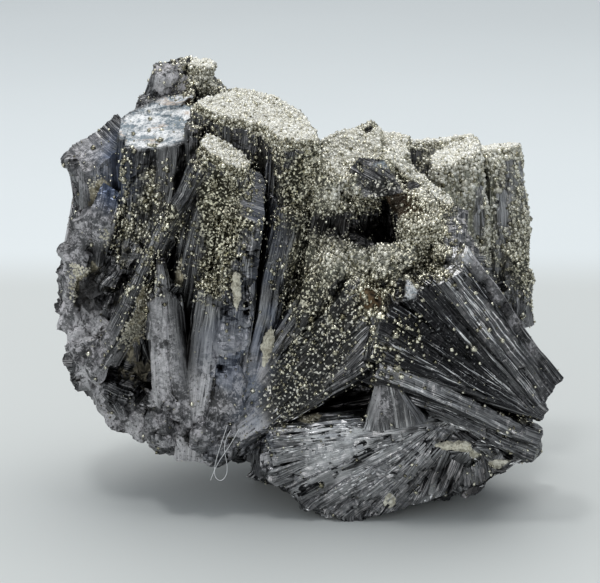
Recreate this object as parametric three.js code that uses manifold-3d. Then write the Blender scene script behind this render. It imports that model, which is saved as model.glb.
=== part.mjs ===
// Pyrite on enargite: a loose hand specimen, 61 mm wide.
// Dark, ribbed enargite prisms grow in sprays out of a few roots and run into one another, so all of them
// are one solid. Thin crusts of pyrite sit on the flat ends of the prisms and a few grains of a pale
// mineral in the grooves between them, each a solid of its own.
// Millimetres, +Z up, +X right, -Y towards the side with the two open sprays. The specimen stands on z = 0.
import * as THREE from "three";
import { ConvexGeometry } from "three/addons/geometries/ConvexGeometry.js";
import { mergeVertices } from "three/addons/utils/BufferGeometryUtils.js";
import Module from "manifold-3d";

const wasm = await Module();
wasm.setup();

// ---- driving dimensions ----
const RIB_PITCH = 2.9; // distance between the ribs along a prism's side
const PLAIN_RIB_PITCH = 6; // the same on the thin blades of the sprays and on the crystals at the back
const RIB_DEPTH = 0.42; // deepest groove between two ribs
const CORNER_CUT = 0.2; // mean share of a prism's width and depth that a bevelled corner takes
const CRUST_GAP = 0.3; // clear space under a pyrite crust
const CRUST_THICKNESS = 0.9; // mean thickness of a pyrite crust
const CRUST_BUMP = 0.2; // how far the crust's knobs stand above and below that
const CRUST_CELL = 3.2; // size of one knob
const CRUST_COVER = 0.94; // share of the prism's end that its crust covers, each way
const WELD = 2e-3; // corners closer than this are one
const GROUND = 120; // side of the block that cuts the underside flat

const ENARGITE = new THREE.MeshStandardMaterial({ color: 0x34363c, roughness: 0.42, metalness: 0.75 });
const PALE = new THREE.MeshStandardMaterial({ color: 0xcfc8b0, roughness: 0.7, metalness: 0 });
const PYRITE = new THREE.MeshStandardMaterial({ color: 0xc9bd8c, roughness: 0.35, metalness: 0.9 });

// ---- small helpers ----
// A seeded source of numbers from 0 to 1, so that the specimen is the same every time.
function seeded(seed) {
  let state = seed * 2654435761;
  return () => {
    state = (state + 0x6d2b79f5) | 0;
    let t = Math.imul(state ^ (state >>> 15), 1 | state);
    t = (t + Math.imul(t ^ (t >>> 7), 61 | t)) ^ t;
    return ((t ^ (t >>> 14)) >>> 0) / 4294967296;
  };
}

const vector = (p) => new THREE.Vector3(...p);

// A geometry with its positions alone, and the corners that lie together merged.
function bareMesh(geometry, tolerance = 1e-4) {
  const bare = geometry.index ? geometry.toNonIndexed() : geometry.clone();
  bare.deleteAttribute("normal");
  bare.deleteAttribute("uv");
  return mergeVertices(bare, tolerance);
}

// A closed three.js geometry as a solid that can be joined and cut.
function solidFrom(geometry, tolerance) {
  const merged = bareMesh(geometry, tolerance);
  return new wasm.Manifold(
    new wasm.Mesh({
      numProp: 3,
      vertProperties: new Float32Array(merged.attributes.position.array),
      triVerts: new Uint32Array(merged.index.array),
    }),
  );
}

// The solid back as a three.js geometry.
function geometryFrom(solid) {
  const mesh = solid.getMesh();
  const points = new Float32Array(mesh.numVert * 3);
  for (let i = 0; i < mesh.numVert; i++) {
    points.set(mesh.vertProperties.subarray(i * mesh.numProp, i * mesh.numProp + 3), i * 3);
  }
  return new THREE.BufferGeometry()
    .setAttribute("position", new THREE.BufferAttribute(points, 3))
    .setIndex(new THREE.BufferAttribute(mesh.triVerts, 1));
}

// Moves each corner of a geometry by what rule(x, y, z) gives for it.
function moveCorners(geometry, rule) {
  const position = geometry.attributes.position;
  for (let i = 0; i < position.count; i++) {
    position.setXYZ(i, ...rule(position.getX(i), position.getY(i), position.getZ(i)));
  }
  return geometry;
}

// ---- one prism ----
// The plain outline of a prism across its length: its own outline where it has one, or else a block whose
// corners are bevelled unevenly, at the back only where that stands free. Its front is the line y = 0 and
// its back y = depth.
function plainOutline({ outline, width, depth, backed = false }, random) {
  if (outline) return outline;
  const cut = () => CORNER_CUT * (0.3 + random());
  const [a, b, c, d] = [cut(), cut(), cut(), cut()];
  const w = width / 2;
  const back = [
    [w, depth - b * depth],
    [w - b * width, depth],
    [c * width - w, depth],
    [-w, depth - c * depth],
  ];
  const squareBack = [
    [w, depth],
    [-w, depth],
  ];
  return [[w - a * width, 0], [w, a * depth], ...(backed ? squareBack : back), [-w, d * depth], [d * width - w, 0]];
}

// The same outline with ribs: every side is broken at each pitch, and each break lies a little deeper.
function ribbedOutline(corners, pitch, random) {
  const centre = new THREE.Vector2();
  corners.forEach(([x, y]) => centre.add(new THREE.Vector2(x, y).divideScalar(corners.length)));
  const points = [];
  corners.forEach(([x, y], i) => {
    const start = new THREE.Vector2(x, y);
    const end = new THREE.Vector2(...corners[(i + 1) % corners.length]);
    const inward = centre.clone().sub(start.clone().lerp(end, 0.5)).normalize();
    const ribs = Math.max(1, Math.round(start.distanceTo(end) / pitch));
    points.push(start);
    for (let k = 1; k < ribs; k++) {
      const along = (k + (random() - 0.5) * 0.5) / ribs;
      const sunk = RIB_DEPTH * (k % 2 ? 0.35 + 0.65 * random() : 0.25 * random());
      points.push(start.clone().lerp(end, along).addScaledVector(inward, sunk));
    }
  });
  return points;
}

// The frame of a prism: its origin at the middle of the front edge of its tip, z along its length,
// and -y towards the side that it faces.
function prismFrame({ tip, foot, facing = [0, -1, 0.1], turn = 0 }) {
  const z = vector(tip).sub(vector(foot)).normalize();
  const back = vector(facing).negate().projectOnPlane(z).normalize();
  back.applyAxisAngle(z, THREE.MathUtils.degToRad(turn));
  const frame = new THREE.Matrix4().makeBasis(back.clone().cross(z), back, z);
  return frame.setPosition(vector(tip));
}

// One prism from its foot to its tip. taper is the share of its width and depth left at the foot, and
// cap the slope of its end across and from front to back.
function prism(crystal, seed) {
  const { tip, foot, pitch = RIB_PITCH, taper = [0.7, 0.8], cap = [0, 0] } = crystal;
  const random = seeded(seed);
  const shape = new THREE.Shape(ribbedOutline(plainOutline(crystal, random), pitch, random));
  const length = vector(tip).distanceTo(vector(foot));
  const block = new THREE.ExtrudeGeometry(shape, { depth: length, bevelEnabled: false });
  moveCorners(block, (x, y, z) =>
    z > length / 2 ? [x, y, cap[0] * x + cap[1] * y] : [x * taper[0], y * taper[1], -length],
  );
  return solidFrom(block.applyMatrix4(prismFrame(crystal)));
}

// The crust on the end of a prism: a knobbly slab, a little smaller than the end, that follows its slope.
function crust(crystal, seed) {
  const { cap = [0, 0] } = crystal;
  const random = seeded(seed);
  const corners = plainOutline(crystal, random).map(([x, y]) => new THREE.Vector2(x, y));
  const rim = new THREE.Box2().setFromPoints(corners);
  const size = rim.getSize(new THREE.Vector2());
  const middle = rim.getCenter(new THREE.Vector2());
  const edge = new THREE.Shape(corners.map((corner) => corner.lerp(middle, 1 - CRUST_COVER)));
  const sides = new THREE.ExtrudeGeometry(edge, { depth: 4 * CRUST_THICKNESS, bevelEnabled: false });

  const [across, along] = [size.x, size.y].map((side) => Math.ceil(side / CRUST_CELL));
  const slab = new THREE.BoxGeometry(size.x, size.y, CRUST_THICKNESS, across, along, 1);
  const knobs = bareMesh(slab.translate(middle.x, middle.y, CRUST_GAP + CRUST_THICKNESS / 2));
  const knob = (z) => (z > CRUST_THICKNESS ? CRUST_BUMP * (2 * random() - 1) : 0);
  const sloped = (x, y, z) => [x, y, z + cap[0] * x + cap[1] * y];
  moveCorners(knobs, (x, y, z) => sloped(x, y, z + knob(z)));
  moveCorners(sides, (x, y, z) => sloped(x, y, z - CRUST_THICKNESS));
  const frame = prismFrame(crystal);
  return solidFrom(knobs.applyMatrix4(frame)).intersect(solidFrom(sides.applyMatrix4(frame)));
}

// ---- one broken lump ----
// An angular lump: the hull of points scattered on an ellipsoid.
function lump({ at, radii, points = 18 }, seed) {
  const random = seeded(seed);
  const corners = [];
  for (let i = 0; i < points; i++) {
    const height = 1 - (2 * (i + 0.5)) / points;
    const around = i * 2.399963 + random() * 0.6;
    const ring = Math.sqrt(1 - height * height);
    const reach = 0.88 + 0.24 * random();
    corners.push(
      new THREE.Vector3(
        at[0] + radii[0] * reach * ring * Math.cos(around),
        at[1] + radii[1] * reach * ring * Math.sin(around),
        at[2] + radii[2] * reach * height,
      ),
    );
  }
  return solidFrom(new ConvexGeometry(corners));
}

// ---- the crystals ----
// Each tip and foot is the middle of the prism's front edge at that end.

// The tall column, the step in front of it and the blades that lean on them.
const MAIN_OUTLINE = [
  [3.7, 0],
  [7.9, 2.1],
  [7.9, 5],
  [5.5, 9.4],
  [1.6, 12.6],
  [-2.6, 12.4],
  [-7.8, 6.6],
  [-4.9, 3.8],
  [0, 4],
];
const tallCrystals = [
  {
    tip: [-5.3, -6, 45],
    foot: [-8.8, -7, 7],
    outline: MAIN_OUTLINE,
    taper: [0.5, 0.6],
    cap: [-0.11, 0.2],
    crust: "column",
  },
  {
    tip: [-8.9, -7.6, 42.6],
    foot: [-14.5, -5, 21],
    width: 6,
    depth: 4.8,
    taper: [0.75, 1],
    cap: [-0.34, 0.06],
    crust: "step",
  },
  {
    tip: [-6.8, -8.6, 36.4],
    foot: [-10, -9, 7],
    width: 4.8,
    depth: 4.4,
    taper: [0.9, 1.2],
    cap: [-0.3, 1.3],
  },
  { tip: [-12.4, -3.5, 46.2], foot: [-12.4, -4, 30], width: 1.8, depth: 6 },
  {
    tip: [-12, -7.8, 43],
    foot: [-24.6, -4.5, 17.5],
    width: 2.4,
    depth: 7,
    taper: [0.85, 0.8],
    facing: [-0.5, -1, 0.4],
  },
  {
    tip: [-10.2, -8.4, 29],
    foot: [-12.8, -8.4, 6.8],
    width: 4.4,
    depth: 6,
    taper: [1.1, 1],
    cap: [0.5, 0.4],
  },
  { tip: [-16, -8.2, 31.4], foot: [-16.5, -8.8, 22], width: 0.9, depth: 1.4, taper: [3.6, 2.4], cap: [0, 0.4] },
  { tip: [-17, -8.6, 27.4], foot: [-15.6, -8.8, 9], width: 2, depth: 3, taper: [1.4, 1.4], cap: [1.2, 0.4] },
  { tip: [-15.3, -8.5, 28], foot: [-13.6, -8.7, 9], width: 2.4, depth: 3, taper: [1.3, 1.4], cap: [-1.4, 0.4] },
  { tip: [-1.6, -6.6, 37], foot: [-7.6, -8, 9], width: 4.6, depth: 6, taper: [0.7, 0.9], cap: [-0.3, 0.6] },
];

// The blades that open from the lower left towards the saddle.
const leftSpray = [
  { tip: [4.2, -7.8, 32], width: 6, cap: [-0.3, 0.6] },
  { tip: [7.4, -10, 28.4], width: 6.4, cap: [-0.1, 0.5] },
  { tip: [8.8, -11.8, 24], width: 5.6, cap: [0.2, 0.4] },
  { tip: [7.8, -11.9, 20.8], width: 3, cap: [0.4, 0.3] },
].map((blade) => ({
  foot: [-11.4, -7.6, 6.6],
  depth: 8,
  backed: true,
  pitch: PLAIN_RIB_PITCH,
  taper: [0.4, 0.5],
  facing: [-0.3, -1, 0.35],
  ...blade,
}));

// The blades that open from the lower right towards the saddle.
const rightSpray = [
  { tip: [18.7, -9.6, 32.8], foot: [30, -9.4, 16.8], width: 2.6, depth: 6, taper: [1, 0.9] },
  { tip: [17.2, -12, 31], foot: [29, -11.6, 16.2], width: 4.8, taper: [0.7, 0.8], cap: [-0.1, 0.2] },
  { tip: [14.4, -12.4, 29.8], width: 3, cap: [0, 0.2] },
  { tip: [12.4, -12.7, 29], width: 3.6, cap: [0.2, 0.3] },
  { tip: [10.6, -13.1, 27.2], width: 3.8, cap: [0.2, 0.2] },
  { tip: [9.3, -13.3, 25], width: 3.6 },
  { tip: [8.6, -13.2, 22.6], width: 3.8, cap: [0.2, 0.3] },
  { tip: [9.2, -12.8, 20.4], foot: [28.4, -10.8, 10.4], width: 4.4, cap: [0, 0.3] },
  { tip: [11.4, -11.6, 18], foot: [28, -10, 8.4], width: 4, cap: [0, 0.3] },
].map((blade) => ({
  foot: [29, -10.8, 13.6],
  depth: 9,
  backed: true,
  pitch: PLAIN_RIB_PITCH,
  taper: [0.6, 0.7],
  facing: [0.1, -1, 0.3],
  cap: [0.3, 0.2],
  ...blade,
}));

// The broken spray along the bottom.
const SPRAY_FOOT = [19.4, -8.6, 12];
const SPRAY_REACH = 1.2; // how far past the broken outline the crystals run before they are cut
const lowerSpray = [
  { tip: [-1.8, -10.8, 10.4], width: 3, depth: 3.4 },
  { tip: [-3, -10.6, 8.4], width: 4 },
  { tip: [-2.2, -10.4, 5.6], width: 4.4 },
  { tip: [0, -10.4, 3.2], width: 4.8 },
  { tip: [3.2, -10.7, 1.6], width: 5 },
  { tip: [6.8, -10.9, 0.8], width: 5.2 },
  { tip: [10.8, -10.8, 1.2], width: 5.6 },
  { tip: [15.2, -10.4, 2.4], width: 6 },
  { tip: [19.6, -9.8, 3.8], width: 6.2 },
  { tip: [23.8, -9.2, 5.8], width: 5.4 },
].map((blade, i) => ({
  foot: SPRAY_FOOT,
  depth: 9,
  backed: true,
  pitch: PLAIN_RIB_PITCH,
  taper: [0.7, 0.8],
  facing: [-0.1, -1, -0.1],
  cap: [0.2 * (i % 3) - 0.2, 0.2],
  broken: true,
  ...blade,
  tip: blade.tip.map((end, axis) => SPRAY_FOOT[axis] + (end - SPRAY_FOOT[axis]) * SPRAY_REACH),
}));

// The broken spray keeps within a rounded form: its outline seen from the front, as x and z, and how much
// of it is left at each depth y.
const LOBE_MIDDLE = [12, 9];
const LOBE_OUTLINE = [
  [-4.2, 13],
  [-4.2, 8],
  [-3.2, 4.2],
  [0, 1.5],
  [4.6, 0],
  [10, 0.5],
  [15.4, 2.5],
  [22, 4.4],
  [26.8, 8.1],
  [28.2, 12.6],
  [20, 17],
  [4, 17],
];
const LOBE_DEPTHS = [
  [-14, 0.7],
  [-12, 0.92],
  [-8, 1],
  [6, 1],
];

// A thin splinter that stands up between the two sprays.
const splinter = {
  tip: [9.8, -12, 19.4],
  foot: [11, -12.4, 12.4],
  width: 1.4,
  depth: 2,
  taper: [5.4, 3],
  facing: [-0.1, -1, -0.1],
};

// The stepped crystals on the left and the peak behind them.
const leftBlocks = [
  { tip: [-16.9, -1.5, 43.6], foot: [-21.2, -1, 17], width: 7.8, depth: 4.6, taper: [0.7, 1.2], cap: [0.26, 0.42] },
  { tip: [-17.3, 2.6, 44.8], foot: [-20, 3, 22], width: 8.4, depth: 4.6, cap: [0.36, 0.42], turn: 4 },
  { tip: [-16.6, 5.8, 46.8], foot: [-22, 6, 24], width: 6.6, depth: 4, cap: [0.5, 0.36], turn: -4 },
  { tip: [-15.6, 8.6, 50.7], foot: [-25.4, 6.6, 26], width: 3.6, depth: 5.6, taper: [1.3, 1], cap: [0.8, 0.1] },
  {
    tip: [-13, 8.8, 50],
    foot: [-22.6, 6.6, 26],
    width: 3.8,
    depth: 5,
    taper: [1.2, 1],
    cap: [0.2, 0.1],
    turn: -10,
    crust: "peak",
  },
  { tip: [-10.2, 9.8, 48.2], foot: [-16, 8, 28], width: 4.8, depth: 4.4, taper: [1.2, 1], cap: [-0.5, 0.1], turn: -6 },
  { tip: [-22.6, 2.6, 41.4], foot: [-23.4, 3, 26], width: 6, depth: 7, taper: [0.8, 1], cap: [0.7, 0.2], turn: 24 },
  { tip: [-24.2, 4, 33.6], foot: [-25.4, 4, 24], width: 3, depth: 6, taper: [1.3, 1], cap: [0.5, 0.1], turn: 34 },
  { tip: [-26.2, -1.2, 34.8], foot: [-28, -1, 20.6], width: 3.2, depth: 6, facing: [-0.5, -1, 0.1], cap: [0.7, 0.4] },
  { tip: [-23.9, -2.6, 34.6], foot: [-24.4, -1, 28.6], width: 3, depth: 4, facing: [-0.3, -1, 0.3], cap: [-0.5, 0.6] },
];

// The crystals between and behind the sprays.
// The two blocks that point out of the saddle have outlines of their own, seen from the back with the top
// at y = 0.
const DARK_END = [
  [2.4, 0],
  [3.4, 1.8],
  [2.4, 4.2],
  [0.4, 4.6],
  [-3.6, 3.6],
  [-0.5, 0],
];
const saddleCrystals = [
  { tip: [3, -4.8, 41], foot: [-0.4, -5.6, 22], width: 3.6, depth: 5, cap: [-0.5, 0.2] },
  { tip: [5, -4.8, 37.4], foot: [1.8, -5.2, 20], width: 3.6, depth: 5, cap: [-0.6, 0.3] },
  { tip: [6.6, -2.8, 37.9], foot: [3.4, -1, 20], width: 7, depth: 2.8, taper: [0.6, 1], cap: [-0.5, 0.2], crust: "rim" },
  { tip: [9.3, -3.6, 42.9], foot: [12.2, 8, 38.4], outline: DARK_END, facing: [0.1, 0.2, 1], taper: [1, 1] },
  { tip: [12, -2.4, 39.4], foot: [13.6, 8, 35.4], width: 4, depth: 3.4, facing: [-0.4, 0.2, 1], taper: [1, 1] },
  { tip: [14.6, -1.4, 37.8], foot: [16.4, 1, 22], width: 8, depth: 3.2, cap: [-1.06, 0.2], crust: "band" },
  { tip: [14.2, -7.2, 34.2], foot: [15.4, -3, 18], width: 4.8, depth: 4.6, cap: [0, 0.6], turn: 10, crust: "saddle" },
  { tip: [17, -8.2, 32.6], foot: [19, -2, 16], width: 3.8, depth: 6, cap: [-0.2, 0.4], turn: -14 },
  { tip: [11, -9.4, 31], foot: [10, -3, 16], width: 4.6, depth: 3.4, cap: [0.2, 0.5] },
  { tip: [7.4, -7.6, 31.6], foot: [5, -2, 16], width: 4, depth: 2.6, cap: [-0.2, 0.5] },
].map((crystal) => ({ pitch: PLAIN_RIB_PITCH, backed: true, ...crystal }));
const backCrystals = [
  { tip: [6.4, 2.4, 38.6], foot: [7, 5, 20], width: 7.6, depth: 6.6, cap: [0.1, 0.4], crust: "back_left" },
  { tip: [11, 6, 39.2], foot: [11, 6, 22], width: 5, depth: 5.4, cap: [-0.15, 0.3], crust: "back_slope" },
  { tip: [8.4, 9.2, 43.8], foot: [2.2, 9, 40], width: 2.6, depth: 1.7, facing: [-0.4, 0, 1], taper: [1, 1] },
  { tip: [16.8, 14, 39.6], foot: [14.6, 8, 20], width: 9, depth: 6, cap: [0.2, -0.1], crust: "back_middle" },
  {
    tip: [19.2, 9, 37.6],
    foot: [22, 8, 15],
    width: 5.8,
    depth: 4.8,
    taper: [1, 1.2],
    cap: [0.28, 0.36],
    crust: "back_step",
  },
  {
    tip: [24.7, 11.4, 39],
    foot: [26.2, 10.2, 17],
    width: 5.2,
    depth: 7,
    taper: [1.25, 1],
    cap: [0.06, -0.2],
    crust: "back_right",
  },
  { tip: [27.4, 10.4, 26.4], foot: [26.2, 9, 19.4], width: 4.4, depth: 7, cap: [-1, 0] },
].map((crystal) => ({ pitch: PLAIN_RIB_PITCH, ...crystal }));

// The crystals that close the back, in rows that lean out further the lower they are.
const REAR_ROWS = [
  { count: 5, rise: 34, out: 11, spread: 15 },
  { count: 6, rise: 32, out: 14, spread: 19 },
  { count: 6, rise: 22, out: 18, spread: 21 },
  { count: 6, rise: 11, out: 20, spread: 19 },
];
const REAR_CRUSTS = { "1,2": "rear_upper", "2,3": "rear_lower" }; // by row and place in the row
const rearCrystals = REAR_ROWS.flatMap(({ count, rise, out, spread }, row) =>
  Array.from({ length: count }, (_, i) => {
    const random = seeded(300 + 10 * row + i);
    const side = (2 * (i + 0.6 * random() + 0.2)) / count - 1;
    const back = out * (1 - 0.35 * side * side) + 2 * random();
    return {
      tip: [1 + spread * side, back, rise + 6 * (random() - 0.5)],
      foot: [1 + 0.5 * spread * side, 1, 2 + 0.1 * rise],
      width: (1.9 * spread) / count + 1.6 * random(),
      depth: 7,
      backed: true,
      pitch: PLAIN_RIB_PITCH,
      facing: [0.5 * side, 1, 0.2],
      turn: 30 * (random() - 0.5),
      taper: [0.6, 0.8],
      cap: [0.5 * (random() - 0.5), 0.3 * random()],
      crust: REAR_CRUSTS[`${row},${i}`],
    };
  }),
);

// ---- the lumps ----
const lumps = [
  { at: [-5, 3, 24], radii: [11, 8, 17] }, // the root of the tall column
  { at: [16.4, 5, 19], radii: [9.4, 8, 12] }, // the root of the right side
  { at: [12, 9, 30], radii: [9, 6, 7] }, // between the crystals at the back
  { at: [5, 4, 7], radii: [16, 12, 9.5] }, // the base
  { at: [20, -2, 8], radii: [9, 8, 7] }, // the base under the right spray
  { at: [10, -5.4, 5.2], radii: [13, 5.2, 5.2] }, // the rounded foot of the broken spray
  { at: [-19.4, 5, 25], radii: [8.4, 7.4, 17] }, // the weathered left side
  { at: [-24.4, 4, 30], radii: [4.4, 5, 6] },
  { at: [-25.4, 4, 23.6], radii: [5, 6, 6] },
  { at: [-24, 2.6, 16.4], radii: [5.2, 6, 6] },
  { at: [-19.8, 1, 11.6], radii: [6, 6, 5] },
  { at: [-14.4, -3, 10], radii: [5.4, 4.6, 4] },
  { at: [-25, -1.6, 18.4], radii: [3.6, 4, 4.2], points: 12 },
  { at: [-16, -7, 12.4], radii: [2.8, 2.8, 3.8], points: 12 }, // broken lumps at the foot of the column
  { at: [-12, -7.6, 10.2], radii: [3.2, 2.8, 2.8], points: 12 },
  { at: [-8.2, -7.4, 9.2], radii: [2.8, 2.6, 2.4], points: 12 },
];

// Grains of the pale mineral that lie in the grooves.
const paleGrains = {
  sliver: { at: [-7.4, -9.3, 28.6], radii: [0.9, 0.8, 2.8] },
  block: { at: [-3.9, -7.8, 20.6], radii: [1.3, 1.1, 3] },
  patch: { at: [18.4, -10.2, 9.3], radii: [2.4, 1, 1] },
};

// ---- the three minerals ----
const crystals = [
  ...tallCrystals,
  ...leftSpray,
  ...rightSpray,
  ...lowerSpray,
  splinter,
  ...leftBlocks,
  ...saddleCrystals,
  ...backCrystals,
  ...rearCrystals,
];

// Keeps the largest body of a solid, and drops the splinters that a cut leaves.
function largestBody(solid) {
  const bodies = solidFrom(geometryFrom(solid), WELD).decompose();
  return bodies.reduce((best, body) => (body.volume() > best.volume() ? body : best));
}

// The rounded form that cuts the broken spray.
function lobe() {
  const [x0, z0] = LOBE_MIDDLE;
  const corners = LOBE_DEPTHS.flatMap(([y, share]) =>
    LOBE_OUTLINE.map(([x, z]) => new THREE.Vector3(x0 + (x - x0) * share, y, z0 + (z - z0) * share)),
  );
  return solidFrom(new ConvexGeometry(corners));
}

// All the enargite, joined and cut flat underneath.
function buildEnargite() {
  const rounded = lobe();
  const prisms = crystals.map((crystal, i) => {
    const whole = prism(crystal, i + 1);
    return crystal.broken ? whole.intersect(rounded) : whole;
  });
  const broken = lumps.map((place, i) => lump(place, 101 + i));
  const joined = [...prisms, ...broken].reduce((whole, piece) => whole.add(piece));
  const ground = new THREE.BoxGeometry(GROUND, GROUND, GROUND).translate(0, 0, -GROUND / 2);
  return largestBody(joined.subtract(solidFrom(ground)));
}

// What the solids on a solid keep clear of: the solid moved by the gap, up and to each side.
function keptClear(solid) {
  const sides = [[0, 0, 1], [1, 0, 0], [-1, 0, 0], [0, 1, 0], [0, -1, 0]];
  const shifted = sides.map((side) => solid.translate(vector(side).multiplyScalar(CRUST_GAP).toArray()));
  return shifted.reduce((whole, copy) => whole.add(copy));
}

// The crusts and the pale grains by name, each cut clear of the enargite and of those before it.
function buildCoatings(enargite) {
  let kept = keptClear(enargite);
  const coatings = {};
  crystals.forEach((crystal, i) => {
    if (crystal.crust) coatings[`pyrite_crust_${crystal.crust}`] = [crust(crystal, i + 1), PYRITE];
  });
  Object.entries(paleGrains).forEach(([place, grain], i) => {
    coatings[`pale_grain_${place}`] = [lump(grain, 201 + i), PALE];
  });
  return Object.entries(coatings).map(([name, [solid, material]]) => {
    const clear = largestBody(solid.subtract(kept));
    kept = kept.add(keptClear(clear));
    return named(name, clear, material);
  });
}

function named(name, solid, material) {
  const mesh = new THREE.Mesh(geometryFrom(solid), material);
  mesh.name = name;
  return mesh;
}

const enargite = buildEnargite();
const specimen = new THREE.Group();
specimen.add(named("enargite_crystals", enargite, ENARGITE));
specimen.add(...buildCoatings(enargite));

// The origin is on the ground under the middle of the specimen.
const middle = new THREE.Box3().setFromObject(specimen).getCenter(new THREE.Vector3());
specimen.position.set(-middle.x, -middle.y, 0);
export default specimen;
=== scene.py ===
# %% [markdown]
# # Pyrite on enargite
# A hand specimen of enargite: dark, metallic, deeply striated prisms that grew in sprays, with a druse of
# tiny pyrite crystals on their ends and sprinkled down their sides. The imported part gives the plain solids.
# This lesson dresses them: it cuts real striae into the crystals, grows the pyrite grain by grain, and
# lights the specimen on a pale table.

# %% Load the fixed frame
import math

import bmesh
import bpy
import numpy as np
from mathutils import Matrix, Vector, noise
from mathutils.bvhtree import BVHTree
from mathutils.kdtree import KDTree


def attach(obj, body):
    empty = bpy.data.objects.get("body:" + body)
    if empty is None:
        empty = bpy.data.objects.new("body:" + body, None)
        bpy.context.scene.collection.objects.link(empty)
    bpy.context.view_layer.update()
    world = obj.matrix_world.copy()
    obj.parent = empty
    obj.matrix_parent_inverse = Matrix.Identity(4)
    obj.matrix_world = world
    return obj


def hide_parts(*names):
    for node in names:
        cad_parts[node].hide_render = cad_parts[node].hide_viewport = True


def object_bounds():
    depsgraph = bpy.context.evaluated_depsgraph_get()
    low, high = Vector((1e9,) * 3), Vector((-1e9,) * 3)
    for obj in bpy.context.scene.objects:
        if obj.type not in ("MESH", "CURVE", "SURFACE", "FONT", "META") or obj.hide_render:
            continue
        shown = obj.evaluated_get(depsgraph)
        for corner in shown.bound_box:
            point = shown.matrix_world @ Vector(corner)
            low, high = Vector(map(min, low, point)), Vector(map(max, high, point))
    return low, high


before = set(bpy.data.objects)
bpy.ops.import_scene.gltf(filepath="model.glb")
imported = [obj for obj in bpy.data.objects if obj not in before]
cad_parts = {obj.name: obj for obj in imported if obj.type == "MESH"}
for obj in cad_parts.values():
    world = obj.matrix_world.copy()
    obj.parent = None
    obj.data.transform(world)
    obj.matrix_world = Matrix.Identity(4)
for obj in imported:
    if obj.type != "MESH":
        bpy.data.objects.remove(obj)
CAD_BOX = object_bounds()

MM = 0.001
print("solids:", len(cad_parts), "size in mm:", [round(side / MM, 1) for side in CAD_BOX[1] - CAD_BOX[0]])

# %% [markdown]
# ## Camera, table and light
# The specimen is small, so a long lens from 30 centimetres keeps its crystals from bulging. It looks
# down at 18 degrees, at a pale table whose far edge runs into a lighter, cooler backdrop.

# %% Camera
CAMERA_DISTANCE = 300 * MM
CAMERA_ELEVATION = math.radians(18)
LENS = 149.4
AIM = (-0.41 * MM, -4.12 * MM)  # from the middle of the part, across and in depth
AIM_HEIGHT = 25.3 * MM
middle = (CAD_BOX[0] + CAD_BOX[1]) / 2
look_at = Vector((middle.x + AIM[0], middle.y + AIM[1], AIM_HEIGHT))
towards_camera = Vector((0, -math.cos(CAMERA_ELEVATION), math.sin(CAMERA_ELEVATION)))


def linked(name, data):
    """A new object, put into the scene."""
    made = bpy.data.objects.new(name, data)
    bpy.context.scene.collection.objects.link(made)
    return made


camera_data = bpy.data.cameras.new("camera")
camera_data.lens = LENS
camera_data.clip_start = 0.01
camera = linked("camera", camera_data)
camera.location = look_at + towards_camera * CAMERA_DISTANCE
camera.rotation_euler = towards_camera.to_track_quat("Z", "Y").to_euler()
bpy.context.scene.camera = camera
bpy.context.scene.view_settings.view_transform = "Standard"
print("camera at", [round(v / MM) for v in camera.location])


# %% [markdown]
# ## Shader maths as plain expressions
# A material is a graph, but it reads best as arithmetic. `Wire` wraps one socket and turns `a * b + 1` into
# Math nodes. `Net` makes every other node through one method: its settings are set first, then its inputs.

# %% Wires and nets
class Wire:
    def __init__(self, net, socket):
        self.net = net
        self.socket = socket

    def maths(self, operation, *terms):
        return self.net.node("ShaderNodeMath", {"operation": operation}, terms)

    def __add__(self, other):
        return self.maths("ADD", self, other)

    def __sub__(self, other):
        return self.maths("SUBTRACT", self, other)

    def __rsub__(self, other):
        return self.maths("SUBTRACT", other, self)

    def __mul__(self, other):
        return self.maths("MULTIPLY", self, other)

    __radd__ = __add__
    __rmul__ = __mul__

    def between(self, low, high):
        """0 below low, 1 above high, and smooth in between. low may be the greater, to turn it round."""
        inputs = {"Value": self, "From Min": low, "From Max": high}
        return self.net.node("ShaderNodeMapRange", {"interpolation_type": "SMOOTHSTEP"}, inputs)


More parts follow.
